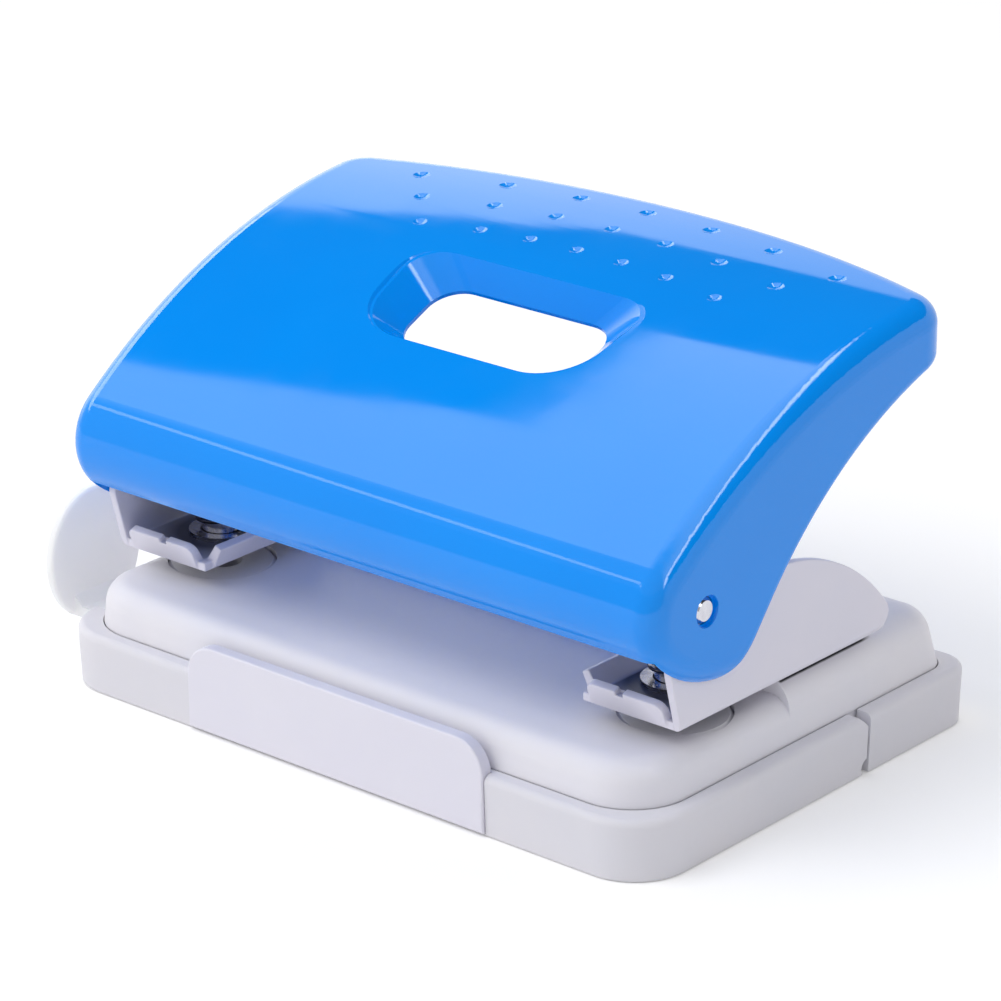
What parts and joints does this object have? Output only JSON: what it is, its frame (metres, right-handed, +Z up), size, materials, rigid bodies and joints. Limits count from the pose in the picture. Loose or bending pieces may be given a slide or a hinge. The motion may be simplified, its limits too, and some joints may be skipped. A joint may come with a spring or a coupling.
{
  "type": "two-hole paper punch",
  "caption": "Desk paper punch with a curved plastic lever handle, folded steel brackets over sprung cutters, a white base with a hinged chip tray and a sliding paper guide.",
  "frame": {"origin": "on the floor in the plane of symmetry of the two cutters, under the middle of the base's depth", "axes": "+X from the left cutter to the right cutter, +Y from the paper side to the back, +Z up"},
  "size_m": [0.1106, 0.0717, 0.0616],
  "materials": {
    "blue_plastic": "gloss",
    "white_plastic": "satin",
    "white_tray": "matt",
    "white_tab": "satin",
    "white_guide": "matt",
    "painted_steel": "satin",
    "steel": "satin",
    "bright_steel": "polished",
    "spring_steel": "bright"
  },
  "bodies": {
    "base": {"base_body": "white_plastic", "tray_rear": "white_tray", "guide_keepers": "white_guide", "keeper_screws": "steel", "tray_screws": "steel", "bracket_screws": "steel", "axle": "bright_steel", "axle_clips": "steel", "left_bracket": "painted_steel", "right_bracket": "painted_steel", "left_die": "white_plastic", "right_die": "white_plastic", "left_spring_washer": "steel", "right_spring_washer": "steel", "left_spring": "spring_steel", "right_spring": "spring_steel"},
    "handle": {"handle_shell": "blue_plastic"},
    "left_punch": {"left_punch_pin": "bright_steel", "left_clip": "steel"},
    "right_punch": {"right_punch_pin": "bright_steel", "right_clip": "steel"},
    "flap": {"tray_flap": "white_tray", "front_tab": "white_tab"},
    "guide": {"paper_guide": "white_guide"}
  },
  "joints": [
    {"name": "handle_press", "type": "hinge", "parent": "base", "child": "handle", "pos_m": [0, -0.02195, 0.0333], "axis": [-1, 0, 0], "range_deg": [0, 30], "stiffness_Nm_per_rad": 0.3, "springref_deg": -28.65},
    {"name": "left_punch_slide", "type": "slide", "parent": "base", "child": "left_punch", "axis": [0, 0, -1], "range_m": [0, 0.0044], "deforming": ["left_spring"]},
    {"name": "right_punch_slide", "type": "slide", "parent": "base", "child": "right_punch", "axis": [0, 0, -1], "range_m": [0, 0.0044], "deforming": ["right_spring"]},
    {"name": "flap_hinge", "type": "hinge", "parent": "base", "child": "flap", "pos_m": [0, 0.01145, 0.0008], "axis": [1, 0, 0], "range_deg": [0, 70]},
    {"name": "guide_slide", "type": "slide", "parent": "base", "child": "guide", "axis": [-1, 0, 0], "range_m": [-0.0035, 0.074]}
  ],
  "couplings": [
    {"joint": "left_punch_slide", "follows": "handle_press", "m_per_rad": 0.00831},
    {"joint": "right_punch_slide", "follows": "handle_press", "m_per_rad": 0.00831}
  ]
}
